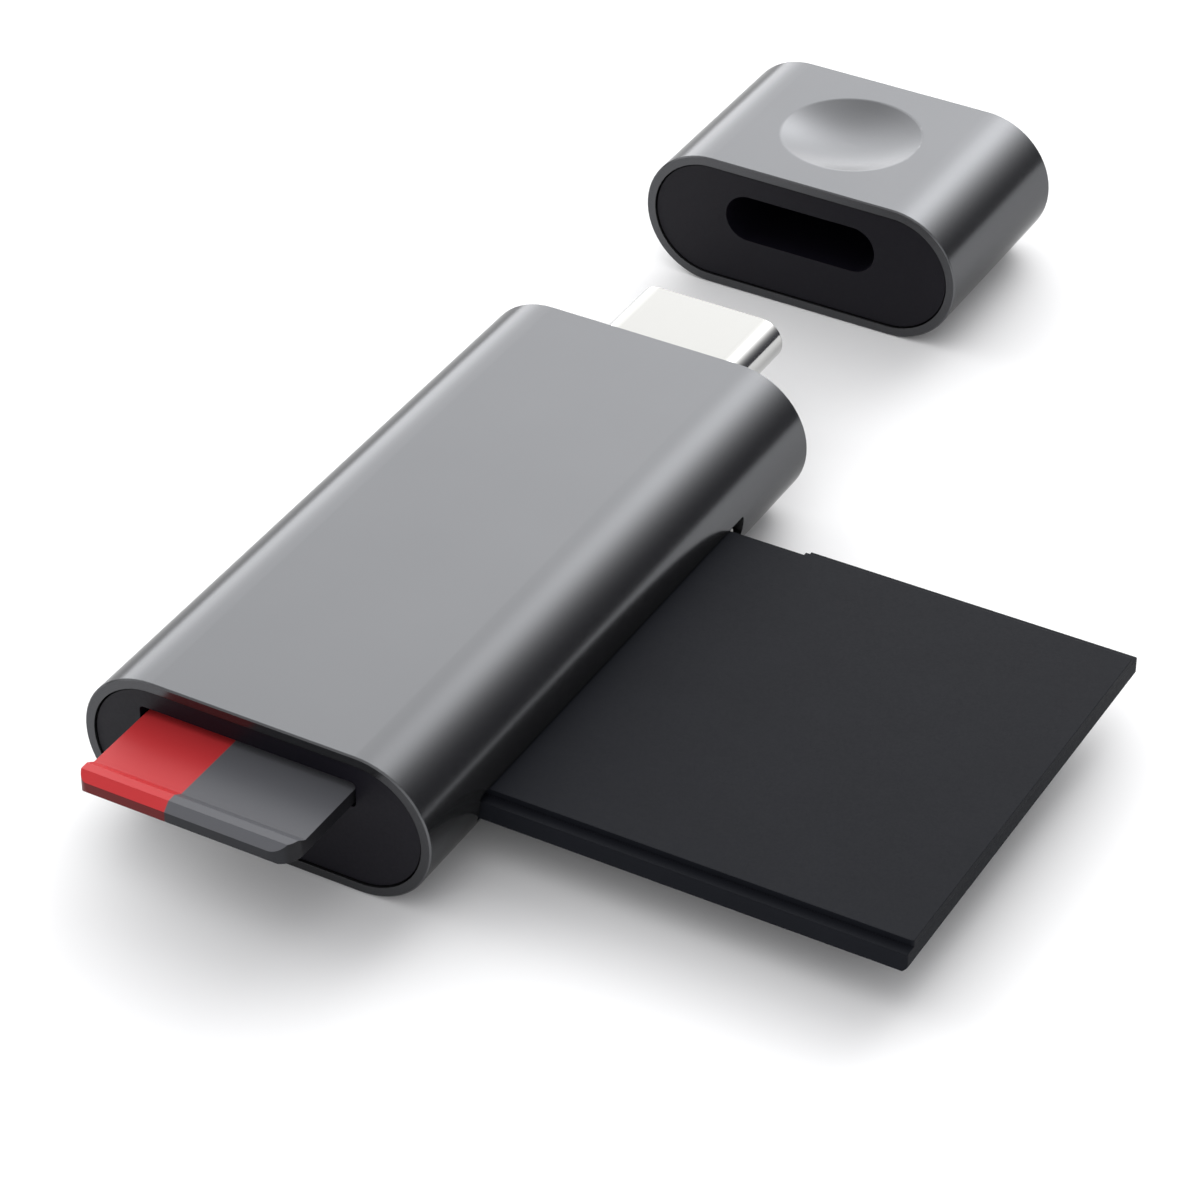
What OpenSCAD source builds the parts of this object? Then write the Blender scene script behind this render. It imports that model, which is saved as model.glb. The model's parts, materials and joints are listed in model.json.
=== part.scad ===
// Pocket memory card reader: an aluminium tube with black end plates, a connector plug at one
// end, a pull-off cap, a full-size card in its side slot and a small card in its end slot.
// X runs across the body, Y along it towards the plug, and Z up from the surface that it lies
// on. The origin is on that surface, at the middle of the body's flat underside.
// All sizes are real sizes in millimetres.

/* [Body] */
// Width of the body across its two rounded sides
body_w = 18.2; // [17.8:0.2:22]
// Height of the body
body_h = 7.6; // [7:0.1:9]
// Length of the aluminium tube
body_len = 35.6; // [35:0.2:44]
// Wall of the tube and of the cap
wall = 0.5; // [0.4:0.05:0.6]
// Bright chamfer on the outer end edges
edge_chamfer = 0.07; // [0.05:0.01:0.2]
// Thickness of each black end plate
plate_t = 1.2; // [1:0.1:1.4]
// Depth of the end plates inside the tube
plate_recess = 0.1; // [0.05:0.05:0.3]

/* [Plug] */
// Width of the plug shell
plug_w = 8.25; // [7.5:0.05:8.5]
// Height of the plug shell
plug_h = 2.4; // [2.3:0.05:2.5]
// Length of plug that stands out of the tube
plug_reach = 7; // [6.6:0.1:7.6]
// Height of the plug axis above the middle of the body
plug_rise = 0.7; // [0.6:0.05:0.8]
// Wall of the plug shell
plug_wall = 0.24; // [0.2:0.02:0.28]
// Contacts in each of the two rows of the plug
plug_ways = 12; // [8:1:12]

/* [Cap] */
// Length of the cap
cap_len = 11.8; // [11:0.2:16]
// Distance that the cap has been pulled off along the body
cap_pull = 16.6; // [9:0.2:40]
// Diameter of the thumb dimple
dimple_d = 7.7; // [6:0.1:9]
// Depth of the thumb dimple
dimple_depth = 0.55; // [0.4:0.05:0.65]
// Radius that blends the dimple into the top
dimple_blend = 0.5; // [0.3:0.1:0.8]
// Thickness of the closed end of the cap
cap_end_t = 0.8; // [0.6:0.1:1.2]
// Depth of the plug hole in the cap, from its mouth
cap_hole_depth = 7.8; // [7.6:0.1:8.6]

/* [Full-size card] */
// Length of the card
big_len = 32; // [31:0.5:33]
// Width of the card
big_wid = 24; // [23.5:0.1:24.5]
// Thickness of the card
big_t = 1.4; // [1.3:0.05:1.5]
// Length of card that stands out past the side of the body
big_out = 20.85; // [20.5:0.05:22]
// Distance of the card's near edge from the near end of the body
big_edge = 4.4; // [4:0.1:5]
// Thickness of the card's upper half, down to the ledges along its long edges
big_back_t = 0.35; // [0.3:0.01:0.4]
// Width of the ledges along the card's long edges
big_ledge = 0.6; // [0.4:0.05:0.75]
// Cut corner of the card
big_cut = 4; // [3.5:0.1:4.5]
// Contacts of the card
big_ways = 9; // [7:1:9]

/* [Small card] */
// Length of the card
small_len = 15; // [14.6:0.1:15.2]
// Width of the card
small_wid = 11; // [10.8:0.1:11.2]
// Thickness of the card under its label
small_t = 0.7; // [0.6:0.05:0.75]
// Height of the finger ridge above the label
ridge_rise = 0.3; // [0.2:0.05:0.35]
// Length of the finger ridge
ridge_len = 1.35; // [1.1:0.05:2]
// Length of card that stands out of the near end
small_out = 5.05; // [4.8:0.05:6]
// Height of the label above the middle of the body
small_rise = 1.75; // [1.7:0.05:1.85]
// Offset of the card to the left of the middle
small_left = 0.4; // [0:0.1:0.5]
// Contacts of the card
small_ways = 8; // [6:1:8]

/* [Circuit board] */
// Thickness of the board
board_t = 0.5; // [0.4:0.05:0.5]
// Height of the board's lower face above the middle of the body
board_rise = 0.3; // [0.25:0.05:0.35]
// Side of the controller chip
chip_side = 5; // [4:0.5:6]
// Height of the controller chip
chip_h = 0.75; // [0.6:0.05:0.9]

/* [Hidden] */
$fn = 96;
eps = 0.01;
over = 1;
mid_z = body_h / 2;

// Gaps between pieces: snug for parts pressed together, loose for parts that slide
snug = 0.04;
loose = 0.12;
sheet_t = 0.15;

// Tube
bore_w = body_w - 2 * wall;
bore_h = body_h - 2 * wall;
side_x = body_w / 2;
near_y = -body_len / 2;
far_y = body_len / 2;
rear_face_y = near_y + plate_recess;
rear_inner_y = rear_face_y + plate_t;
front_face_y = far_y - plate_recess;
front_inner_y = front_face_y - plate_t;
plate_gap = 0.08;
plate_w = bore_w - 2 * plate_gap;
plate_h = bore_h - 2 * plate_gap;

// Full-size card, lying with its contacts up and towards the left
big_drop = 1.35;
big_z = mid_z - big_drop;
big_top = big_z + big_t;
big_split_z = big_top - big_back_t;
big_outer_x = side_x + big_out;
big_inner_x = big_outer_x - big_len;
big_y = near_y + big_edge;
big_far_y = big_y + big_wid;
big_corner_r = 0.12;
big_bevel = 0.1;
big_end_bevel = 0.3;
big_side_margin = 1.35;
big_rib = 0.5;
big_pitch = (big_wid - 2 * big_side_margin + big_rib) / big_ways;
big_pad_w = big_pitch - big_rib;
big_first_y = big_y + big_side_margin + big_pad_w / 2;
big_window_len = 4.4;
big_pad_start = 1.6;
big_pad_len = 2.6;
big_pad_t = 0.04;
big_setback = 3;
big_pocket_edge = 1.2;
big_board_t = 0.65;

// Write-protect notch and its slider, pushed in to the writable place
notch_start = 8.1;
notch_len = 7;
notch_depth = 0.8;
notch_x0 = big_inner_x + notch_start;
notch_x1 = notch_x0 + notch_len;
slider_len = 2.7;
groove_depth = 0.3;
groove_h = 0.4;
groove_rise = 0.35;
groove_z = big_z + groove_rise;

// Side slot in the tube
slot_near_gap = 0.15;
slot_far_gap = 0.55;
slot_gap = 0.08;
slot_y0 = big_y - slot_near_gap;
slot_y1 = big_far_y + slot_far_gap;
slot_z0 = big_z - slot_gap;
slot_z1 = big_top + slot_gap;
slot_r = 0.2;

// Small card, lying with its label up
small_x0 = -small_left - small_wid / 2;
small_x1 = small_x0 + small_wid;
label_z = mid_z + small_rise;
small_z = label_z - small_t;
small_y0 = near_y - small_out;
small_y1 = small_y0 + small_len;
small_corner_r = 1.1;
small_left_r = 0.5;
small_step = 1.3;
small_neck_len = 7.6;
small_side_margin = 1.65;
small_rib = 0.3;
small_pitch = (small_wid - 2 * small_side_margin) / (small_ways - 1);
small_first_x = small_x0 + small_side_margin;
small_pad_w = small_pitch - small_rib;
small_strip_w = small_pad_w * 0.6;
small_pad_len = 2.9;
small_pad_t = 0.04;
small_pad_edge = 0.8;
small_pad_y1 = small_y1 - small_pad_edge;

// End slot in the near plate
port_gap = 0.15;
port_headroom = 0.5;
port_x0 = small_x0 - port_gap;
port_x1 = small_x1 + port_gap;
port_z0 = small_z - port_gap;
port_z1 = label_z + port_headroom;
port_r = 0.2;

// Board and the carrier that holds it in the tube
board_z = mid_z + board_rise;
board_top = board_z + board_t;
board_side_gap = 0.35;
board_near_gap = 0.2;
board_far_gap = 2;
board_corner_r = 0.5;
board_w = 2 * (bore_half_width(board_top) - board_side_gap);
board_y0 = rear_inner_y + board_near_gap;
board_y1 = front_inner_y - board_far_gap;
deck_z = big_z - loose - sheet_t - snug;
deck_t = deck_z - wall - snug;
carrier_y0 = rear_inner_y + snug;
carrier_y1 = front_inner_y - snug;
peg_d = 0.45 * deck_t;
peg_len = 1.2;
peg_x = bore_w / 4;
peg_z = wall + snug + deck_t / 2;

// Full-size card socket, hung under the board
big_stop_t = 1.9;
big_stop_gap = 0.2;
big_foot_len = 0.5;
big_rail_near = 0.95;
big_rail_far = 1.05;
big_stop_x = big_inner_x - big_stop_gap;
big_sock_x0 = big_stop_x - big_stop_t;
big_sock_x1 = bore_half_width(deck_z) - snug;
big_sock_y0 = big_y - big_rail_near;
big_sock_y1 = big_far_y + big_rail_far;
big_sock_z0 = big_z - loose;
big_sock_top = board_z - snug;
big_spring_z = big_top - sheet_t - 2 * snug;

// Rail beside that socket and the stakes that hold the board on it
rail_x = big_sock_x0 - big_foot_len - loose;
rail_w = bore_w / 2 + rail_x;
stake_d = min(0.9, 0.7 * rail_w);
stake_head_d = stake_d + 0.3;
stake_head_h = 0.3;
stake_root = 1;
stake_right_gap = 1.55;
stake_end_gap = 0.85;
stake_left_x = 0.3 * rail_w - bore_w / 2;
stake_right_x = bore_w / 2 - stake_right_gap;
stake_near_y = board_y0 + stake_end_gap;
stake_far_y = board_y1 - stake_end_gap;

// Small card socket, on top of the board
small_rail_w = 0.45;
small_back_len = 3.6;
small_stop_gap = 0.2;
small_under_gap = 0.1;
small_over_gap = 0.1;
small_sock_x0 = small_x0 - small_rail_w;
small_sock_x1 = small_x1 + small_rail_w;
small_sock_y0 = board_y0 + board_near_gap;
small_sock_y1 = small_y1 + small_back_len;
small_stop_y = small_y1 + small_stop_gap;
small_floor_top = small_z - small_under_gap;
small_lid_z = label_z + small_over_gap;

// Parts on the board, in rows behind the small card socket
part_gap = 2.2;
land_pitch = 0.5;
chip_y0 = small_sock_y1 + part_gap;
chip_y1 = chip_y0 + chip_side;
can_len = 3.2;
can_wid = 2.5;
can_rim = 0.2;
can_x = -1;
can_y = chip_y1 + part_gap + can_rim;
regulator_x = 4.6;
capacitor_pitch = 1.3;
capacitor_gap = 1.9;
resistor_pitch = 1.1;
resistor_gap = 3.2;

// Plug
plug_z = mid_z + plug_rise;
plug_tip_y = far_y + plug_reach;
plug_root_len = 1.3;
plug_root_y = front_inner_y - plug_root_len;
core_w = plug_w - 2 * plug_wall - 2 * snug;
core_h = plug_h - 2 * plug_wall - 2 * snug;
core_y0 = board_y1 + snug;
core_setback = 0.35;
core_y1 = plug_tip_y - core_setback;
tongue_cheek = 0.42;
tongue_margin = 0.675;
tongue_w = core_w - 2 * tongue_cheek;
tongue_h = 0.95;
tongue_depth = 5.6;
tongue_y0 = core_y1 - tongue_depth;
plug_pitch = (tongue_w - 2 * tongue_margin) / (plug_ways - 1);
pin_w = 0.48 * plug_pitch;
pin_lane = 0.68 * plug_pitch;
pin_t = 0.12;
pin_root_len = 0.6;
pin_bend_y = core_y0 + pin_root_len;
pin_root_z = 0.51;
lane_z = 0.33;

// Cap, coaxial with the body
cap_y0 = far_y + cap_pull;
cap_y1 = cap_y0 + cap_len;
cap_floor_y = cap_y1 - cap_end_t;
cap_insert_y0 = cap_y0 + plate_recess;
cap_insert_y1 = cap_floor_y - snug;
cap_hole_gap = 0.25;
cap_hole_w = plug_w + 2 * cap_hole_gap;
cap_hole_h = plug_h + cap_hole_gap;
cap_hole_y1 = cap_y0 + cap_hole_depth;
cap_end_chamfer = 0.2;
dimple_y = (cap_y0 + cap_y1) / 2;
dimple_r = dimple_d / 2;
dimple_ball_r = (dimple_r * dimple_r / dimple_depth + dimple_depth) / 2 - dimple_blend;
dimple_reach = dimple_ball_r + dimple_blend;
dimple_tangent = dimple_ball_r / dimple_reach;

// Half the width of the bore at height z
function bore_half_width(z) = (bore_w - bore_h) / 2 + sqrt(pow(bore_h / 2, 2) - pow(z - mid_z, 2));

// Stadium in the plane, w across and h high, with full-round sides
module stadium_2d(w, h) {
    square([w - h, h], center = true);
    for (side = [-1, 1])
        translate([side * (w - h) / 2, 0])
            circle(d = h);
}

// Rectangle in the plane between two corners, with corner radius r
module rounded_2d(x0, y0, x1, y1, r) {
    translate([x0 + r, y0])
        square([x1 - x0 - 2 * r, y1 - y0]);
    translate([x0, y0 + r])
        square([x1 - x0, y1 - y0 - 2 * r]);
    for (x = [x0 + r, x1 - r])
        for (y = [y0 + r, y1 - r])
            translate([x, y])
                circle(r = r, $fn = 32);
}

// Profile drawn in X and Z, drawn out along Y
module along_y(y0, y1) {
    translate([0, y1, 0])
        rotate([90, 0, 0])
            linear_extrude(height = y1 - y0)
                children();
}

// Profile drawn in Y and Z, drawn out along X
module along_x(x0, x1) {
    translate([x0, 0, 0])
        rotate([90, 0, 90])
            linear_extrude(height = x1 - x0)
                children();
}

// Profile drawn in X and Y, drawn out along Z
module along_z(z0, z1) {
    translate([0, 0, z0])
        linear_extrude(height = z1 - z0)
            children();
}

// Block between two corners
module block(low, high) {
    translate(low)
        cube(high - low);
}

// Upright cylinder that stands at a point
module post(x, y, z0, z1, d) {
    translate([x, y, z0])
        cylinder(h = z1 - z0, d = d, $fn = 32);
}

// Stadium bar at height z, with chamfers of its own at the near end and the far end
module chamfered_bar(w, h, z, y0, y1, near_c, far_c) {
    r = h / 2;
    flat = (w - h) / 2;
    translate([0, 0, z]) {
        along_x(-flat, flat)
            polygon([[y0 + near_c, -r], [y1 - far_c, -r], [y1, far_c - r], [y1, r - far_c],
                [y1 - far_c, r], [y0 + near_c, r], [y0, r - near_c], [y0, near_c - r]]);
        for (side = [-1, 1])
            translate([side * flat, 0, 0])
                rotate([-90, 0, 0])
                    rotate_extrude()
                        polygon([[0, y0], [r - near_c, y0], [r, y0 + near_c],
                            [r, y1 - far_c], [r - far_c, y1], [0, y1]]);
    }
}

// Stadium bar on the plug's axis with square ends
module plug_bar(w, h, y0, y1) {
    translate([0, 0, plug_z])
        along_y(y0, y1)
            stadium_2d(w, h);
}

// Stadium bar on the body's axis with square ends
module plain_bar(w, h, y0, y1) {
    translate([0, 0, mid_z])
        along_y(y0, y1)
            stadium_2d(w, h);
}

// Aluminium tube with the side slot for the full-size card
module body_sleeve() {
    color("#8f9094")
        difference() {
            chamfered_bar(body_w, body_h, mid_z, near_y, far_y, edge_chamfer, edge_chamfer);
            plain_bar(bore_w, bore_h, near_y - over, far_y + over);
            along_x(big_inner_x, body_w)
                rounded_2d(slot_y0, slot_z0, slot_y1, slot_z1, slot_r);
        }
}

// Pegs that line an end plate up with the carrier
module plate_pegs(y0) {
    for (side = [-1, 1])
        translate([side * peg_x, y0, peg_z])
            rotate([-90, 0, 0])
                cylinder(h = peg_len, d = peg_d, $fn = 32);
}

// Near end plate with the slot for the small card
module rear_end_plate() {
    color("#1d1e20") {
        difference() {
            plain_bar(plate_w, plate_h, rear_face_y, rear_inner_y);
            along_y(near_y, board_y0)
                rounded_2d(port_x0, port_z0, port_x1, port_z1, port_r);
        }
        plate_pegs(rear_inner_y - eps);
    }
}

// Far end plate, which the plug passes through
module front_end_plate() {
    color("#1d1e20") {
        difference() {
            plain_bar(plate_w, plate_h, front_inner_y, front_face_y);
            plug_bar(plug_w + 2 * snug, plug_h + 2 * snug, board_y1, far_y);
        }
        plate_pegs(front_inner_y - peg_len + eps);
    }
}

// Places of the four stakes that hold the board on the carrier
module at_stakes() {
    for (x = [stake_left_x, stake_right_x])
        for (y = [stake_near_y, stake_far_y])
            translate([x, y, 0])
                children();
}

// Tray that fills the lower part of the bore and carries the board on rails and corner blocks
module inner_carrier() {
    window_edge = 2;
    window_side = 4;
    rib_w = 0.9;
    corner_w = 3.4;
    fold_room = 3 * sheet_t;
    window_y0 = big_y + window_edge;
    window_y1 = big_far_y - window_edge;
    window_x = bore_w / 2 - window_side;
    corner_x = big_sock_x1 - corner_w;
    color("#26272a") {
        difference() {
            intersection() {
                plain_bar(bore_w - 2 * snug, bore_h - 2 * snug, carrier_y0, carrier_y1);
                union() {
                    block([-body_w, near_y, 0], [body_w, far_y, deck_z]);
                    block([-body_w, near_y, 0], [rail_x, far_y, board_z - snug]);
                    block([corner_x, near_y, 0], [body_w, big_sock_y0 - fold_room, board_z - snug]);
                    block([corner_x, big_sock_y1 + fold_room, 0], [body_w, far_y, board_z - snug]);
                }
            }
            for (side = [0, 1])
                mirror([side, 0, 0])
                    block([rib_w / 2, window_y0, 0], [window_x, window_y1, deck_z + over]);
            for (side = [-1, 1])
                translate([side * peg_x, near_y, peg_z])
                    rotate([-90, 0, 0])
                        cylinder(h = body_len, d = peg_d + 2 * snug, $fn = 32);
            plug_bar(plug_w + 2 * loose, plug_h + 2 * loose, board_y1, far_y);
        }
        at_stakes() {
            post(0, 0, board_z - stake_root, board_top + snug + eps, stake_d);
            post(0, 0, board_top + snug, board_top + snug + stake_head_h, stake_head_d);
        }
    }
}

// Printed circuit board
module circuit_board() {
    color("#1f5a3c")
        difference() {
            along_z(board_z, board_top)
                rounded_2d(-board_w / 2, board_y0, board_w / 2, board_y1, board_corner_r);
            at_stakes()
                post(0, 0, board_z - over, board_top + over, stake_d + 2 * snug);
        }
}

// Square controller chip with its pin-one dimple and its row of solder lands
module controller_chip() {
    chip_y = (chip_y0 + chip_y1) / 2;
    lands = floor((chip_side - 1) / land_pitch);
    land_w = 0.24;
    land_t = 0.15;
    land_in = 0.4;
    land_out = 0.05;
    lift = 0.02;
    dot_d = 0.5;
    dot_edge = 0.7;
    dot_depth = 0.08;
    color("#202124")
        translate([0, chip_y, board_top]) {
            difference() {
                block([-chip_side / 2, -chip_side / 2, lift], [chip_side / 2, chip_side / 2, chip_h]);
                post(dot_edge - chip_side / 2, chip_side / 2 - dot_edge,
                    chip_h - dot_depth, chip_h + over, dot_d);
            }
            for (turn = [0 : 3])
                rotate([0, 0, 90 * turn])
                    for (i = [0 : lands - 1])
                        translate([(i - (lands - 1) / 2) * land_pitch, chip_side / 2, 0])
                            block([-land_w / 2, -land_in, 0], [land_w / 2, land_out, land_t]);
        }
}

// Crystal in its lidded metal can
module crystal_can() {
    base_h = 0.45;
    lid_h = 0.25;
    x = can_len / 2;
    y = can_wid / 2;
    color("#c9cacc")
        translate([can_x, can_y, board_top]) {
            along_z(0, base_h)
                rounded_2d(-x, -y, x, y, can_rim);
            along_z(base_h - eps, base_h + lid_h)
                rounded_2d(can_rim - x, can_rim - y, x - can_rim, y - can_rim, can_rim);
        }
}

// Three-legged regulator
module voltage_regulator() {
    leg_w = 0.4;
    leg_pitch = 0.95;
    half_len = 1.45;
    half_wid = 0.65;
    top_half_wid = 0.55;
    lift = 0.1;
    seam_z = 0.5;
    high = 1;
    color("#27282b")
        translate([regulator_x, can_y, board_top]) {
            along_y(-half_len, half_len)
                polygon([[-half_wid, lift], [half_wid, lift], [half_wid, seam_z],
                    [top_half_wid, high], [-top_half_wid, high], [-half_wid, seam_z]]);
            for (place = [[0, 0], [1, -leg_pitch], [1, leg_pitch]])
                translate([0, place[1], 0])
                    mirror([place[0], 0, 0])
                        along_y(-leg_w / 2, leg_w / 2)
                            polygon([[0.6, 0.45], [0.95, 0.45], [1.05, 0.12], [1.3, 0.12],
                                [1.3, 0], [0.95, 0], [0.85, 0.33], [0.6, 0.33]]);
        }
}

// Chip part with a body and two soldered end caps
module chip_part(len, wid, high) {
    cap = len / 4;
    lift = 0.03;
    proud = 0.02;
    block([cap - len / 2, -wid / 2, lift], [len / 2 - cap, wid / 2, high - lift]);
    for (side = [-1, 1])
        translate([side * (len - cap) / 2, 0, 0])
            block([-cap / 2 - eps, -wid / 2 - proud, 0], [cap / 2 + eps, wid / 2 + proud, high]);
}

// Two rows of capacitors beside the controller
module ceramic_capacitors() {
    row_y = chip_y0 + 0.5;
    color("#b79a72")
        for (side = [-1, 1])
            for (i = [0 : 3])
                translate([side * (chip_side / 2 + capacitor_gap), row_y + i * capacitor_pitch, board_top])
                    chip_part(1, 0.5, 0.45);
}

// Row of resistors near the plug
module chip_resistors() {
    color("#1b1b1d")
        for (i = [-3 : 3])
            translate([i * resistor_pitch, board_y1 - resistor_gap, board_top])
                rotate([0, 0, 90])
                    chip_part(1, 0.5, 0.35);
}

// Drawn metal shell of the plug, with its mouth turned in
module plug_shell() {
    mouth_chamfer = 0.16;
    root_chamfer = 0.05;
    color("#d9d9d7")
        difference() {
            chamfered_bar(plug_w, plug_h, plug_z, plug_root_y, plug_tip_y, root_chamfer, mouth_chamfer);
            plug_bar(plug_w - 2 * plug_wall, plug_h - 2 * plug_wall, plug_root_y - over, plug_tip_y + over);
        }
}

// Places of one row of plug contacts: the upper row at side 0, the lower at side 1
module at_row(side) {
    for (i = [0 : plug_ways - 1])
        translate([(i - (plug_ways - 1) / 2) * plug_pitch, 0, plug_z])
            mirror([0, 0, side])
                children();
}

// Moulded core of the plug with the tongue space and a lane for each contact
module plug_insulator() {
    color("#1a1a1c")
        difference() {
            plug_bar(core_w, core_h, core_y0, core_y1);
            along_y(tongue_y0, plug_tip_y)
                translate([0, plug_z])
                    square([tongue_w, tongue_h], center = true);
            for (side = [0, 1])
                at_row(side) {
                    block([-pin_lane / 2, board_y1, lane_z],
                        [pin_lane / 2, plug_tip_y, pin_root_z + pin_t + snug]);
                    block([-pin_lane / 2, board_y1, -eps], [pin_lane / 2, pin_bend_y + snug, lane_z + eps]);
                }
            along_y(board_y1, tongue_y0 + eps)
                translate([0, plug_z])
                    square([tongue_w, sheet_t + 2 * snug], center = true);
        }
}

// Sprung contacts of the plug with their solder feet over and under the board
module plug_contacts() {
    foot_len = 1;
    curl_len = 0.6;
    tip_y = core_y1 - 0.5;
    bump_y = tip_y - curl_len;
    beam_y = bump_y - curl_len;
    bump_z = 0.34;
    beam_z = 0.4;
    color("#c9a24a")
        for (side = [0, 1]) {
            foot_z = side == 0 ? board_top - plug_z + eps : plug_z - board_z + eps;
            root_z = max(foot_z, lane_z + snug);
            at_row(side)
                along_x(-pin_w / 2, pin_w / 2)
                    polygon([[board_y1 - foot_len, foot_z], [board_y1, foot_z], [pin_bend_y, root_z],
                        [beam_y, beam_z], [bump_y, bump_z], [tip_y, beam_z],
                        [tip_y, beam_z + pin_t], [bump_y, bump_z + pin_t], [beam_y, beam_z + pin_t],
                        [pin_bend_y, root_z + pin_t], [board_y1, foot_z + pin_t],
                        [board_y1 - foot_len, foot_z + pin_t]]);
        }
}

// Steel plate between the contact rows, with the two side latches
module plug_latch_plate() {
    plate_setback = 0.4;
    plate_y0 = core_y0 + plate_setback;
    arm_x = tongue_w / 2 - snug;
    arm_w = 0.4;
    hook_y = core_y1 - 4 * arm_w;
    hook = 0.15;
    right_half = [[arm_x, plate_y0], [arm_x, hook_y], [arm_x - arm_w, hook_y + arm_w],
        [arm_x - arm_w - hook, hook_y], [arm_x - arm_w / 2, hook_y - 2 * arm_w], [arm_x - arm_w, tongue_y0]];
    left_half = [for (i = [1 : len(right_half)]) let (p = right_half[len(right_half) - i]) [-p[0], p[1]]];
    color("#c4c5c7")
        along_z(plug_z - sheet_t / 2, plug_z + sheet_t / 2)
            polygon(concat(right_half, left_half));
}

// Moulded frame of the full-size card socket: back stop and two side rails
module big_socket_housing() {
    color("#2a2b2e")
        difference() {
            block([big_sock_x0, big_sock_y0, big_sock_z0], [big_sock_x1, big_sock_y1, big_sock_top]);
            block([big_stop_x, big_y - loose, 0], [body_w, big_far_y + loose, body_h]);
            big_lanes(big_sock_x0 - over, big_stop_x + over, snug);
        }
}

// One lane per contact of the full-size card
module big_lanes(x0, x1, gap) {
    lane_w = big_pad_w / 2 + 2 * gap;
    for (i = [0 : big_ways - 1])
        translate([0, big_first_y + i * big_pitch, 0])
            block([x0, -lane_w / 2, big_spring_z - gap], [x1, lane_w / 2, body_h]);
}

// Sheet metal cover under the full-size card, with folded sides and two windows
module big_socket_cover() {
    fold_h = 1.2;
    window_edge = 3;
    window_len = 6;
    window_start = 1;
    window_r = 0.5;
    low_z = big_sock_z0 - sheet_t - snug / 2;
    y0 = big_sock_y0 - sheet_t - snug;
    y1 = big_sock_y1 + sheet_t + snug;
    color("#bfc0c2")
        difference() {
            block([big_sock_x0, y0, low_z], [big_sock_x1, y1, low_z + fold_h]);
            block([big_sock_x0 - over, y0 + sheet_t, low_z + sheet_t], [body_w, y1 - sheet_t, body_h]);
            for (y = [big_y + window_edge, big_far_y - window_edge - window_len])
                along_z(0, body_h)
                    rounded_2d(big_inner_x + window_start, y,
                        big_sock_x1 - window_edge, y + window_len, window_r);
        }
}

// Sprung contacts that reach down on to the pads of the full-size card
module big_socket_contacts() {
    strip_w = big_pad_w / 2;
    foot_z = big_sock_top - sheet_t;
    foot_x = big_sock_x0 - big_foot_len;
    touch_z = big_split_z + snug;
    root_z = big_spring_z;
    curl_h = 0.25;
    curl_len = 0.6;
    reach = 2.6;
    color("#c9a24a")
        for (i = [0 : big_ways - 1]) {
            bend_x = big_inner_x + 0.1 + setback(i);
            tip_x = big_inner_x + reach + setback(i);
            along_y(big_first_y + i * big_pitch - strip_w / 2, big_first_y + i * big_pitch + strip_w / 2)
                polygon([[foot_x, foot_z], [big_sock_x0 - 0.2, foot_z], [big_sock_x0, root_z],
                    [bend_x, root_z], [tip_x - curl_len, touch_z], [tip_x, touch_z + curl_h],
                    [tip_x, touch_z + curl_h + sheet_t], [tip_x - curl_len, touch_z + sheet_t],
                    [bend_x, root_z + sheet_t], [big_sock_x0 + 0.1, root_z + sheet_t],
                    [big_sock_x0 - 0.1, foot_z + sheet_t], [foot_x, foot_z + sheet_t]]);
        }
}

// One lane per contact of the small card
module small_lanes(y0, y1, gap, z0, z1) {
    lane_w = small_strip_w + 2 * gap;
    for (i = [0 : small_ways - 1])
        translate([small_first_x + i * small_pitch, 0, 0])
            block([-lane_w / 2, y0, z0], [lane_w / 2, y1, z1]);
}

// Moulded base of the small card socket: floor, back stop and two side rails
module small_socket_housing() {
    mouth_setback = 0.3;
    lane_margin = 0.3;
    color("#2a2b2e")
        difference() {
            block([small_sock_x0 + sheet_t + snug, small_sock_y0 + mouth_setback, board_top],
                [small_sock_x1 - sheet_t - snug, small_sock_y1, small_lid_z - snug]);
            block([small_x0 - loose, near_y, small_floor_top], [small_x1 + loose, small_stop_y, body_h]);
            small_lanes(small_pad_y1 - small_pad_len - lane_margin, small_sock_y1 + over, snug,
                0, small_floor_top + eps);
        }
}

// Sheet metal lid of the small card socket, with folded sides and a spring window
module small_socket_cover() {
    window_w = small_wid / 2 - 2;
    window_edge = 3;
    window_len = 4;
    window_r = 0.4;
    window_off = 3.2;
    window_y0 = small_sock_y0 + window_edge;
    color("#bfc0c2")
        difference() {
            block([small_sock_x0, small_sock_y0, board_top],
                [small_sock_x1, small_sock_y1, small_lid_z + sheet_t]);
            block([small_sock_x0 + sheet_t, near_y, 0], [small_sock_x1 - sheet_t, far_y, small_lid_z]);
            for (side = [-1, 1])
                translate([side * window_off - small_left, 0, 0])
                    along_z(small_lid_z - over, body_h)
                        rounded_2d(-window_w / 2, window_y0, window_w / 2, window_y0 + window_len, window_r);
        }
}

// Sprung contacts under the small card, with their feet on the board
module small_socket_contacts() {
    spring_t = 0.07;
    dip = 0.07;
    foot_len = 0.9;
    foot_y = small_sock_y1 + foot_len;
    touch_z = small_z - 0.03;
    tip_y = small_pad_y1 - small_pad_len;
    color("#c9a24a")
        for (i = [0 : small_ways - 1])
            translate([small_first_x + i * small_pitch, 0, 0])
                along_x(-small_strip_w / 2, small_strip_w / 2)
                    polygon([[tip_y, touch_z - dip], [tip_y + 0.5, touch_z], [tip_y + 1, touch_z - dip],
                        [small_sock_y1 - 2, board_top + spring_t], [foot_y, board_top + spring_t],
                        [foot_y, board_top], [small_sock_y1 - 2.1, board_top],
                        [tip_y + 1, touch_z - dip - spring_t], [tip_y + 0.5, touch_z - spring_t],
                        [tip_y + 0.1, touch_z - dip - spring_t]]);
}

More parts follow.
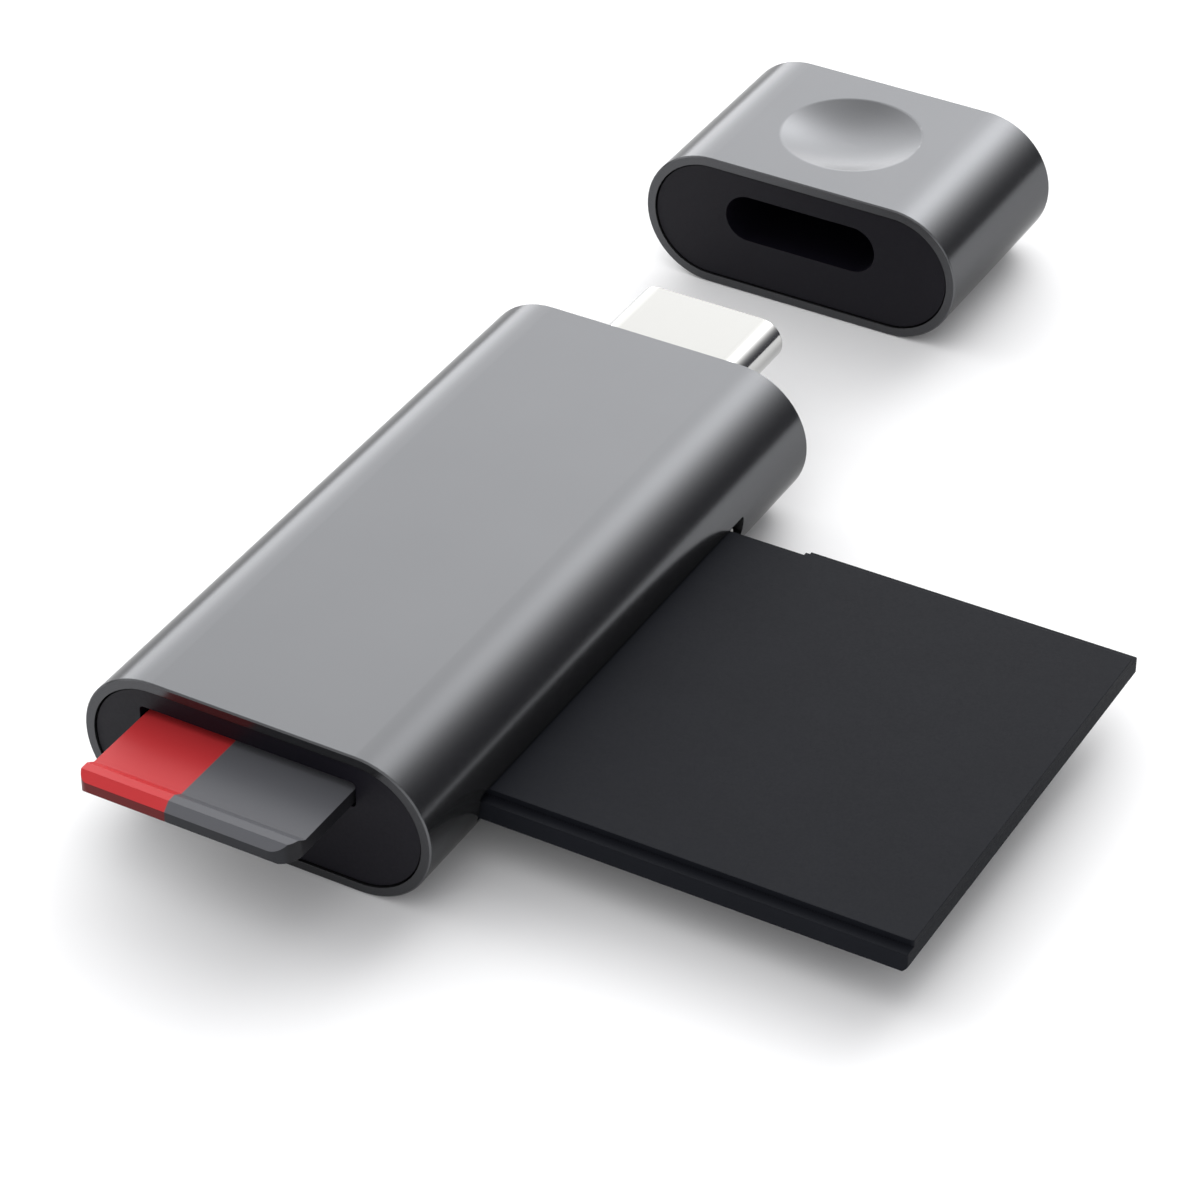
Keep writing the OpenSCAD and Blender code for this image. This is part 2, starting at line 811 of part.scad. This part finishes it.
// Ball that makes the dimple, grown for what lies under the dished wall
module dimple_ball(grow) {
    translate([0, dimple_y, body_h + dimple_ball_r - dimple_depth])
        sphere(r = dimple_ball_r + grow);
}

// Ring that rounds the rim of the dimple over into the flat top
module dimple_rim() {
    translate([0, dimple_y, body_h])
        rotate_extrude()
            difference() {
                translate([dimple_r * dimple_tangent, -dimple_blend * dimple_depth / dimple_reach])
                    square([dimple_r * (1 - dimple_tangent), 1]);
                translate([dimple_r, -dimple_blend])
                    circle(r = dimple_blend);
            }
}

// Aluminium cap, closed at its far end, with the thumb dimple pressed into its top
module cap_shell() {
    color("#a9aaad")
        difference() {
            chamfered_bar(body_w, body_h, mid_z, cap_y0, cap_y1, edge_chamfer, cap_end_chamfer);
            difference() {
                plain_bar(bore_w, bore_h, cap_y0 - over, cap_floor_y);
                dimple_ball(wall);
            }
            dimple_ball(0);
            dimple_rim();
        }
}

// Black block in the cap's mouth with the blind hole for the plug
module cap_insert() {
    color("#1d1e20")
        difference() {
            plain_bar(plate_w, plate_h, cap_insert_y0, cap_insert_y1);
            dimple_ball(wall + snug);
            translate([0, 0, plug_z])
                along_y(cap_y0, cap_hole_y1)
                    stadium_2d(cap_hole_w, cap_hole_h);
        }
}

// Outline of the full-size card with its cut corner, set in along its long edges
module big_outline(side_inset) {
    y0 = big_y + side_inset;
    y1 = big_far_y - side_inset;
    cut = big_cut - side_inset + over;
    difference() {
        rounded_2d(big_inner_x, y0, big_outer_x, y1, big_corner_r);
        polygon([[big_inner_x - over, y0 - over], [big_inner_x + cut, y0 - over],
            [big_inner_x - over, y0 + cut]]);
    }
}

// Section of the full-size card's underside between two edges, each with a bevel of its own
module big_underside(edge0, edge1, bevel0, bevel1) {
    polygon([[edge0 - big_t, big_z + bevel0 + big_t], [edge0 + bevel0, big_z],
        [edge1 - bevel1, big_z], [edge1 + big_t, big_z + bevel1 + big_t]]);
}

// Space of the write-protect notch in the far edge
module notch_cut() {
    block([notch_x0, big_far_y - notch_depth, 0], [notch_x1, far_y, body_h]);
}

// Upper half of the full-size card, with a window over each contact
module big_card_back_shell() {
    color("#1f2124")
        difference() {
            along_z(big_split_z, big_top)
                big_outline(big_ledge);
            notch_cut();
            big_windows();
        }
}

// How far each contact of the full-size card is set back: only the one at the cut corner is
function setback(i) = i == 0 ? big_setback : 0;

// Windows that open at the card's inner end, one over each contact
module big_windows() {
    for (i = [0 : big_ways - 1])
        translate([0, big_first_y + i * big_pitch, 0])
            block([big_inner_x - over, -big_pad_w / 2, 0],
                [big_inner_x + big_window_len + setback(i), big_pad_w / 2, body_h]);
}

// Pocket in the lower half of the full-size card
module big_pocket(inset, z0, z1) {
    edge = big_pocket_edge + inset;
    along_z(z0, z1)
        polygon([[big_inner_x + edge + big_cut / 2, big_y + edge], [big_outer_x - edge, big_y + edge],
            [big_outer_x - edge, big_far_y - edge], [big_inner_x + edge, big_far_y - edge],
            [big_inner_x + edge, big_y + edge + big_cut / 2]]);
}

// Lower half of the full-size card, with its notch, slider groove and inner pocket
module big_card_front_shell() {
    color("#1f2124")
        difference() {
            intersection() {
                along_z(big_z, big_split_z)
                    big_outline(0);
                along_x(big_inner_x - over, big_outer_x + over)
                    big_underside(big_y, big_far_y, big_bevel, big_bevel);
                along_y(big_y - over, big_far_y + over)
                    big_underside(big_inner_x, big_outer_x, big_bevel, big_end_bevel);
            }
            notch_cut();
            block([notch_x0, big_far_y - notch_depth - groove_depth, groove_z],
                [notch_x1, big_far_y, groove_z + groove_h]);
            big_pocket(0, big_split_z - big_board_t - big_pad_t - snug, big_split_z + over);
        }
}

// Inner board of the full-size card
module big_card_board() {
    color("#1f5a3c")
        big_pocket(snug, big_split_z - big_board_t - big_pad_t, big_split_z - big_pad_t);
}

// Gilt contacts of the full-size card
module big_card_contacts() {
    color("#d0a63f")
        for (i = [0 : big_ways - 1])
            translate([big_inner_x + big_pad_start + setback(i), big_first_y + i * big_pitch, big_split_z])
                block([0, -big_pad_w / 2, -big_pad_t], [big_pad_len, big_pad_w / 2, 0]);
}

// Write-protect slider with its foot in the groove
module big_card_lock_slider() {
    x0 = notch_x0 + 0.1;
    x1 = x0 + slider_len;
    y0 = big_far_y - notch_depth;
    color("#d8d8d4")
        union() {
            block([x0, y0 + snug, big_z + big_bevel], [x1, big_far_y - 2 * snug, big_split_z - snug]);
            block([x0, y0 - groove_depth + snug, groove_z + snug],
                [x1, y0 + 2 * snug, groove_z + groove_h - snug]);
        }
}

// Outline of the small card, with the step in its right edge and a tighter near left corner
module small_outline() {
    r = small_corner_r;
    neck_x1 = small_x1 - small_step;
    neck_y0 = small_y1 - small_neck_len;
    difference() {
        union() {
            rounded_2d(small_x0, small_y0, small_x1, neck_y0, r);
            rounded_2d(small_x0, small_y0, neck_x1, small_y1, r);
            rounded_2d(small_x0, small_y0, small_x0 + 3 * r, small_y0 + 3 * r, small_left_r);
        }
        translate([small_x1, neck_y0])
            rotate([0, 0, 45])
                square(small_step * 0.9, center = true);
    }
}

// Small card: thin under the label, thicker at the finger ridge, with its pads let in below
module small_card_body() {
    ridge_z = label_z + ridge_rise;
    ridge_y = small_y0 + ridge_len;
    ridge_slope = 0.5;
    ridge_nose = 0.38;
    low_bevel = 0.1;
    nose = 0.12;
    color("#232427")
        difference() {
            intersection() {
                along_z(small_z - over, ridge_z + over)
                    small_outline();
                along_x(small_x0 - over, small_x1 + over)
                    polygon([[small_y0, small_z + low_bevel], [small_y0 + low_bevel, small_z],
                        [small_y1 - nose, small_z], [small_y1, small_z + nose], [small_y1, label_z - nose],
                        [small_y1 - nose, label_z], [ridge_y, label_z], [ridge_y - ridge_slope, ridge_z],
                        [small_y0 + ridge_nose, ridge_z], [small_y0, ridge_z - ridge_nose]]);
            }
            small_pads(over, small_pad_t + eps);
        }
}

// One block per contact of the small card, from below its underside to a depth in it
module small_pads(below, deep) {
    for (i = [0 : small_ways - 1])
        translate([small_first_x + i * small_pitch, 0, 0])
            block([-small_pad_w / 2, small_pad_y1 - small_pad_len, small_z - below],
                [small_pad_w / 2, small_pad_y1, small_z + deep]);
}

// Gilt contacts of the small card
module small_card_contacts() {
    color("#d0a63f")
        small_pads(0, small_pad_t);
}

body_sleeve();
rear_end_plate();
front_end_plate();
inner_carrier();
circuit_board();
controller_chip();
crystal_can();
voltage_regulator();
ceramic_capacitors();
chip_resistors();
plug_shell();
plug_insulator();
plug_contacts();
plug_latch_plate();
big_socket_housing();
big_socket_cover();
big_socket_contacts();
small_socket_housing();
small_socket_cover();
small_socket_contacts();
cap_shell();
cap_insert();
big_card_back_shell();
big_card_front_shell();
big_card_board();
big_card_contacts();
big_card_lock_slider();
small_card_body();
small_card_contacts();
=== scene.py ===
"""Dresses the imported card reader: camera, soft studio light, and a finish for every piece."""
import json
import math

import bpy
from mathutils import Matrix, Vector

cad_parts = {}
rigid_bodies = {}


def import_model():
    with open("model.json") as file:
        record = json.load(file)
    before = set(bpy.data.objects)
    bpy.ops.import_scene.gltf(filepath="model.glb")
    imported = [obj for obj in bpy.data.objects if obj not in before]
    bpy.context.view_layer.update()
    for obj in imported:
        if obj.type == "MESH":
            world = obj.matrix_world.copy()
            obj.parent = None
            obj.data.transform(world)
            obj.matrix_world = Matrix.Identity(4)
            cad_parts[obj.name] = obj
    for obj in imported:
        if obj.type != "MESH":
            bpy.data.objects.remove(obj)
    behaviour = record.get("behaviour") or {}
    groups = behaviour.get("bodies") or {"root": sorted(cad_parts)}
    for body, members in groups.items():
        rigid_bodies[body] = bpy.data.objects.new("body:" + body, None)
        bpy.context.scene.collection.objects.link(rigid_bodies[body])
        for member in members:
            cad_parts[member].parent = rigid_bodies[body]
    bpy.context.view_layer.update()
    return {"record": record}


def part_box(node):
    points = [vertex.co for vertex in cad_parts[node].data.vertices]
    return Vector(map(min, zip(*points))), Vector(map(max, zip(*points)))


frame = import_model()

MM = 0.001

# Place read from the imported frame
SMALL_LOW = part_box("small_card_body")[0]

# Where the small card's red field ends and its grey one starts
LABEL_EDGE_X = SMALL_LOW.x + 4.6 * MM
LABEL_BLUR = 0.03 * MM

# Camera, as fitted to the photograph
CAMERA_AZIMUTH = 29.51
CAMERA_ELEVATION = 36.17
CAMERA_DISTANCE = 203.8 * MM
CAMERA_TARGET = Vector((6.48, 1.51, 4.75)) * MM
PHOTO_WIDTH = 1195
FOCAL_PIXELS = 4374
SENSOR_WIDTH = 36.0


def to_camera(azimuth, elevation):
    """Unit vector from a target towards a viewer at this azimuth and elevation in degrees."""
    a, e = math.radians(azimuth), math.radians(elevation)
    return Vector((math.sin(a) * math.cos(e), -math.cos(a) * math.cos(e), math.sin(e)))


def make_camera():
    """Camera at the photograph's angle."""
    data = bpy.data.cameras.new("camera")
    data.sensor_width = SENSOR_WIDTH
    data.lens = FOCAL_PIXELS / PHOTO_WIDTH * SENSOR_WIDTH
    data.clip_start = 0.01
    data.clip_end = 10.0
    camera = bpy.data.objects.new("camera", data)
    bpy.context.collection.objects.link(camera)
    back = to_camera(CAMERA_AZIMUTH, CAMERA_ELEVATION)
    camera.location = CAMERA_TARGET + back * CAMERA_DISTANCE
    camera.rotation_mode = "QUATERNION"
    camera.rotation_quaternion = (-back).to_track_quat("-Z", "Y")
    bpy.context.scene.camera = camera


# Materials

def new_material(name):
    """Empty node material and its Principled shader."""
    material = bpy.data.materials.new(name)
    material.use_nodes = True
    shader = material.node_tree.nodes["Principled BSDF"]
    return material, material.node_tree, shader


def add_node(tree, kind, **settings):
    """New node with its attributes and, by socket name, its input values set."""
    node = tree.nodes.new(kind)
    for key, value in settings.items():
        if key in node.inputs:
            node.inputs[key].default_value = value
        else:
            setattr(node, key, value)
    return node


def object_point(tree, stretch=(1, 1, 1)):
    """Socket with the point on the object in metres, stretched along the axes."""
    place = add_node(tree, "ShaderNodeTexCoord")
    mapping = add_node(tree, "ShaderNodeMapping")
    mapping.inputs["Scale"].default_value = stretch
    tree.links.new(place.outputs["Object"], mapping.inputs["Vector"])
    return mapping.outputs["Vector"]


def noise(tree, point, grain, detail=3.0):
    """Socket with noise whose blotches are about grain metres across."""
    texture = add_node(tree, "ShaderNodeTexNoise", Scale=1 / grain, Detail=detail)
    tree.links.new(point, texture.inputs["Vector"])
    return texture.outputs["Fac"]


def spread(tree, value, low, high):
    """Socket that carries a 0 to 1 value over to the range low to high."""
    node = add_node(tree, "ShaderNodeMapRange")
    node.inputs["From Min"].default_value = 0.3
    node.inputs["From Max"].default_value = 0.7
    node.inputs["To Min"].default_value = low
    node.inputs["To Max"].default_value = high
    tree.links.new(value, node.inputs["Value"])
    return node.outputs["Result"]


def blend_colours(tree, factor, first, second):
    """Socket with the first colour at factor 0 and the second at 1."""
    node = add_node(tree, "ShaderNodeMix", data_type="RGBA")
    for socket, colour in ((node.inputs[6], first), (node.inputs[7], second)):
        if isinstance(colour, tuple):
            socket.default_value = (*colour, 1.0)
        else:
            tree.links.new(colour, socket)
    tree.links.new(factor, node.inputs[0])
    return node.outputs[2]


def blend_values(tree, factor, first, second):
    """Socket with the first value at factor 0 and the second at 1."""
    node = add_node(tree, "ShaderNodeMix", data_type="FLOAT")
    node.inputs[0].default_value = factor
    tree.links.new(first, node.inputs[2])
    tree.links.new(second, node.inputs[3])
    return node.outputs[0]


def raise_surface(tree, shader, value, depth, edge_radius=0.05):
    """Bump of this depth in metres, over edges that are softened to this radius in millimetres."""
    edges = add_node(tree, "ShaderNodeBevel", samples=4, Radius=edge_radius * MM)
    bump = add_node(tree, "ShaderNodeBump", Strength=1.0, Distance=depth)
    tree.links.new(value, bump.inputs["Height"])
    tree.links.new(edges.outputs["Normal"], bump.inputs["Normal"])
    tree.links.new(bump.outputs["Normal"], shader.inputs["Normal"])


def facing(tree, axis, low, high):
    """Socket that rises from 0 to 1 as the surface turns to face along the axis vector."""
    geometry = add_node(tree, "ShaderNodeNewGeometry")
    dot = add_node(tree, "ShaderNodeVectorMath", operation="DOT_PRODUCT")
    dot.inputs[1].default_value = axis
    tree.links.new(geometry.outputs["Normal"], dot.inputs[0])
    node = add_node(tree, "ShaderNodeMapRange")
    node.inputs["From Min"].default_value = low
    node.inputs["From Max"].default_value = high
    tree.links.new(dot.outputs["Value"], node.inputs["Value"])
    return node.outputs["Result"]


def anodised_aluminium():
    """Fine-blasted semi-matt anodising over the tube's faint drawing lines, with painted shade: its
    end faces turned towards -Y get a darker colour.
    """
    material, tree, shader = new_material("anodised_aluminium")
    shader.inputs["Metallic"].default_value = 0.9
    shader.inputs["Specular IOR Level"].default_value = 0.2
    shader.inputs["Specular Tint"].default_value = (0.55, 0.55, 0.55, 1)
    point = object_point(tree)
    cloud = noise(tree, point, 6 * MM, 2.0)
    skin = blend_colours(tree, cloud, (0.107, 0.109, 0.1135), (0.113, 0.115, 0.1195))
    # Painted shade: faces turned towards -Y get a darker colour
    ends = facing(tree, (0, -1, 0), 0.9, 0.97)
    skin = blend_colours(tree, ends, skin, (0.075, 0.076, 0.08))
    tree.links.new(skin, shader.inputs["Base Color"])
    grain = noise(tree, point, 0.05 * MM, 2.0)
    lines = noise(tree, object_point(tree, (1, 0.03, 1)), 0.12 * MM, 3.0)
    surface = blend_values(tree, 0.35, grain, lines)
    tree.links.new(spread(tree, surface, 0.17, 0.23), shader.inputs["Roughness"])
    raise_surface(tree, shader, surface, 0.0004 * MM)
    return material


def moulded_plastic(name, colour, roughness, specular=0.5, grain_size=0.12, depth=0.002):
    """Matt moulded plastic with a fine spark-eroded grain."""
    material, tree, shader = new_material(name)
    point = object_point(tree)
    grain = noise(tree, point, grain_size * MM)
    lighter = tuple(1.25 * c for c in colour)
    skin = blend_colours(tree, noise(tree, point, 3 * MM), colour, lighter)
    tree.links.new(skin, shader.inputs["Base Color"])
    gloss = spread(tree, grain, roughness - 0.05, roughness + 0.05)
    tree.links.new(gloss, shader.inputs["Roughness"])
    shader.inputs["Specular IOR Level"].default_value = specular
    raise_surface(tree, shader, grain, depth * MM)
    return material


def metal(name, colour, low_roughness, high_roughness, stretch=(1, 1, 1), shaded_top_colour=None):
    """Plated or rolled metal with faint drawing marks and, if given, painted shade: a darker colour
    on its flat top.
    """
    material, tree, shader = new_material(name)
    point = object_point(tree, stretch)
    marks = noise(tree, point, 0.25 * MM, 4.0)
    shader.inputs["Metallic"].default_value = 1.0
    darker = tuple(0.92 * c for c in colour)
    skin = blend_colours(tree, marks, colour, darker)
    # Painted shade: faces turned up get the darker top colour
    if shaded_top_colour:
        top = facing(tree, (0, 0, 1), 0.9, 0.98)
        skin = blend_colours(tree, top, skin, shaded_top_colour)
    tree.links.new(skin, shader.inputs["Base Color"])
    tree.links.new(spread(tree, marks, low_roughness, high_roughness), shader.inputs["Roughness"])
    raise_surface(tree, shader, marks, 0.0004 * MM)
    return material


def small_card_print():
    """Small card: red and grey printed fields on its label side, and on its end the same printed
    fields about five times darker as painted shade; bare resin elsewhere.
    """
    material, tree, shader = new_material("small_card_print")
    point = object_point(tree)
    split = add_node(tree, "ShaderNodeSeparateXYZ")
    tree.links.new(point, split.inputs["Vector"])
    edge = add_node(tree, "ShaderNodeMapRange")
    edge.inputs["From Min"].default_value = LABEL_EDGE_X - LABEL_BLUR
    edge.inputs["From Max"].default_value = LABEL_EDGE_X + LABEL_BLUR
    tree.links.new(split.outputs["X"], edge.inputs["Value"])
    past_edge = edge.outputs["Result"]
    fields = blend_colours(tree, past_edge, (0.52, 0.034, 0.038), (0.105, 0.107, 0.117))
    # Painted shade: the end turned towards -Y gets the printed colours about five times darker
    ends = blend_colours(tree, past_edge, (0.11, 0.006, 0.007), (0.02, 0.021, 0.0245))
    up = facing(tree, (0, 0, 1), 0.3, 0.5)
    out = facing(tree, (0, -1, 0), 0.6, 0.8)
    resin = blend_colours(tree, out, (0.012, 0.012, 0.014), ends)
    tree.links.new(blend_colours(tree, up, resin, fields), shader.inputs["Base Color"])
    grain = noise(tree, point, 0.15 * MM)
    tree.links.new(spread(tree, grain, 0.34, 0.42), shader.inputs["Roughness"])
    shader.inputs["Specular IOR Level"].default_value = 0.15
    raise_surface(tree, shader, grain, 0.001 * MM)
    return material


def make_finishes():
    """The finish for each material slot of the record."""
    plated = (0.5, 0.5, 0.49)
    # Painted shade: the plug shell's flat top gets a darker colour than its plated sides
    plated_top_shade = (0.216, 0.216, 0.209)
    return {
        "anodised_aluminium": anodised_aluminium(),
        "black_plastic": moulded_plastic("black_plastic", (0.0025, 0.002, 0.0048), 0.5, 0.2),
        "carrier_plastic": moulded_plastic("carrier_plastic", (0.02, 0.02, 0.022), 0.55),
        "board_laminate": moulded_plastic("board_laminate", (0.02, 0.12, 0.06), 0.35, 0.5, 0.4),
        "chip_resin": moulded_plastic("chip_resin", (0.02, 0.02, 0.022), 0.6),
        "ceramic_body": moulded_plastic("ceramic_body", (0.45, 0.32, 0.18), 0.4),
        "sheet_steel": metal("sheet_steel", (0.62, 0.62, 0.61), 0.22, 0.3, (1, 0.1, 1)),
        "plated_shell": metal("plated_shell", plated, 0.1, 0.15, (1, 0.15, 1), plated_top_shade),
        "connector_plastic": moulded_plastic("connector_plastic", (0.012, 0.012, 0.013), 0.5),
        "gilt_contact": metal("gilt_contact", (0.83, 0.6, 0.24), 0.2, 0.28),
        "card_plastic": moulded_plastic("card_plastic", (0.008, 0.0088, 0.0115), 0.55, 0.04, 0.1),
        "slider_plastic": moulded_plastic("slider_plastic", (0.6, 0.6, 0.58), 0.5),
        "small_card_resin": small_card_print(),
    }


def dress_nodes():
    """Gives every node of the frame its finish."""
    finishes = make_finishes()
    for entry in frame["record"]["subparts"]:
        for slot in bpy.data.objects[entry["node"]].material_slots:
            slot.material = finishes[entry["material_slot"]]


# Stage and light

def make_floor():
    """Plain pale floor under the object."""
    material, tree, shader = new_material("floor")
    shader.inputs["Base Color"].default_value = (0.95, 0.95, 0.95, 1)
    shader.inputs["Roughness"].default_value = 0.8
    shader.inputs["Specular IOR Level"].default_value = 0.1
    half = 1500 * MM
    corners = [(-half, -half, 0), (half, -half, 0), (half, half, 0), (-half, half, 0)]
    mesh = bpy.data.meshes.new("floor")
    mesh.from_pydata(corners, [], [(0, 1, 2, 3)])
    mesh.materials.append(material)
    floor = bpy.data.objects.new("floor", mesh)
    bpy.context.collection.objects.link(floor)


# Soft patches of light round the object: direction, tightness and strength of each
STUDIO = (
    # Behind on the left: the rounded left sides, and the flat tops
    ((-0.71, 0.70, 0.05), 30, 5.0),
    ((-0.67, 0.70, 0.23), 30, 3.0),
    ((-0.47, 0.70, 0.54), 30, 2.2),
    # Straight behind: the bright band along each right shoulder, which fades on both sides
    ((0.00, 0.85, 0.53), 30, 7.5),
    ((-0.27, 0.85, 0.45), 30, 2.0),
    ((0.27, 0.85, 0.45), 30, 1.5),
    ((0.15, 0.70, 0.70), 30, 0.8),
    # Low behind: the lower part of the rounded sides, and the shadows towards the camera
    ((-0.38, 0.92, 0.06), 30, 5.5),
    ((-0.45, 0.85, 0.27), 30, 0.8),
    ((0.00, 0.99, 0.10), 20, 2.5),
    # High behind: the hollow of the dimple
    ((-0.60, 0.52, 0.61), 30, 1.0),
    ((-0.40, 0.45, 0.80), 30, 0.8),
    ((-0.10, 0.50, 0.86), 30, 1.5),
    ((0.20, 0.45, 0.87), 30, 0.7),
    # Left, right and overhead: the floor and the cards
    ((-0.80, 0.00, 0.60), 14, 3.5),
    ((0.80, -0.20, 0.50), 14, 0.8),
    ((0.00, -0.30, 0.95), 14, 2.0),
    # Wide and in front: the tops as seen from behind
    ((0.68, -0.68, 0.28), 8, 1.1),
    ((0.00, -0.92, 0.38), 8, 1.1),
    ((-0.68, -0.68, 0.28), 8, 0.8),
)

# Faint cool light from everywhere
ROOM_LIGHT = (0.05, 0.05, 0.062, 1)


def make_world():
    """Pale backdrop for the camera, lit by soft patches of light that fade into each other."""
    world = bpy.data.worlds.new("studio")
    bpy.context.scene.world = world
    world.use_nodes = True
    tree = world.node_tree
    backdrop = tree.nodes["Background"]
    backdrop.inputs["Color"].default_value = (0.96, 0.96, 0.96, 1)
    place = add_node(tree, "ShaderNodeTexCoord")
    total = add_node(tree, "ShaderNodeValue").outputs["Value"]
    total.default_value = 0.0
    # Each patch adds strength * exp(tightness * (cosine of the angle from its middle - 1))
    for direction, tightness, strength in STUDIO:
        dot = add_node(tree, "ShaderNodeVectorMath", operation="DOT_PRODUCT")
        dot.inputs[1].default_value = Vector(direction).normalized()
        tree.links.new(place.outputs["Generated"], dot.inputs[0])
        fall = add_node(tree, "ShaderNodeMath", operation="MULTIPLY_ADD")
        fall.inputs[1].default_value = tightness
        fall.inputs[2].default_value = -tightness
        tree.links.new(dot.outputs["Value"], fall.inputs[0])
        patch = add_node(tree, "ShaderNodeMath", operation="EXPONENT")
        tree.links.new(fall.outputs["Value"], patch.inputs[0])
        gather = add_node(tree, "ShaderNodeMath", operation="MULTIPLY_ADD")
        gather.inputs[1].default_value = strength
        tree.links.new(patch.outputs["Value"], gather.inputs[0])
        tree.links.new(total, gather.inputs[2])
        total = gather.outputs["Value"]
    patches = add_node(tree, "ShaderNodeBackground")
    tree.links.new(total, patches.inputs["Strength"])
    room = add_node(tree, "ShaderNodeBackground")
    room.inputs["Color"].default_value = ROOM_LIGHT
    light = add_node(tree, "ShaderNodeAddShader")
    tree.links.new(patches.outputs["Background"], light.inputs[0])
    tree.links.new(room.outputs["Background"], light.inputs[1])
    path = add_node(tree, "ShaderNodeLightPath")
    choose = add_node(tree, "ShaderNodeMixShader")
    tree.links.new(path.outputs["Is Camera Ray"], choose.inputs[0])
    tree.links.new(light.outputs["Shader"], choose.inputs[1])
    tree.links.new(backdrop.outputs["Background"], choose.inputs[2])
    tree.links.new(choose.outputs["Shader"], tree.nodes["World Output"].inputs["Surface"])


make_camera()
dress_nodes()
make_floor()
make_world()
bpy.context.scene.view_settings.view_transform = "Standard"
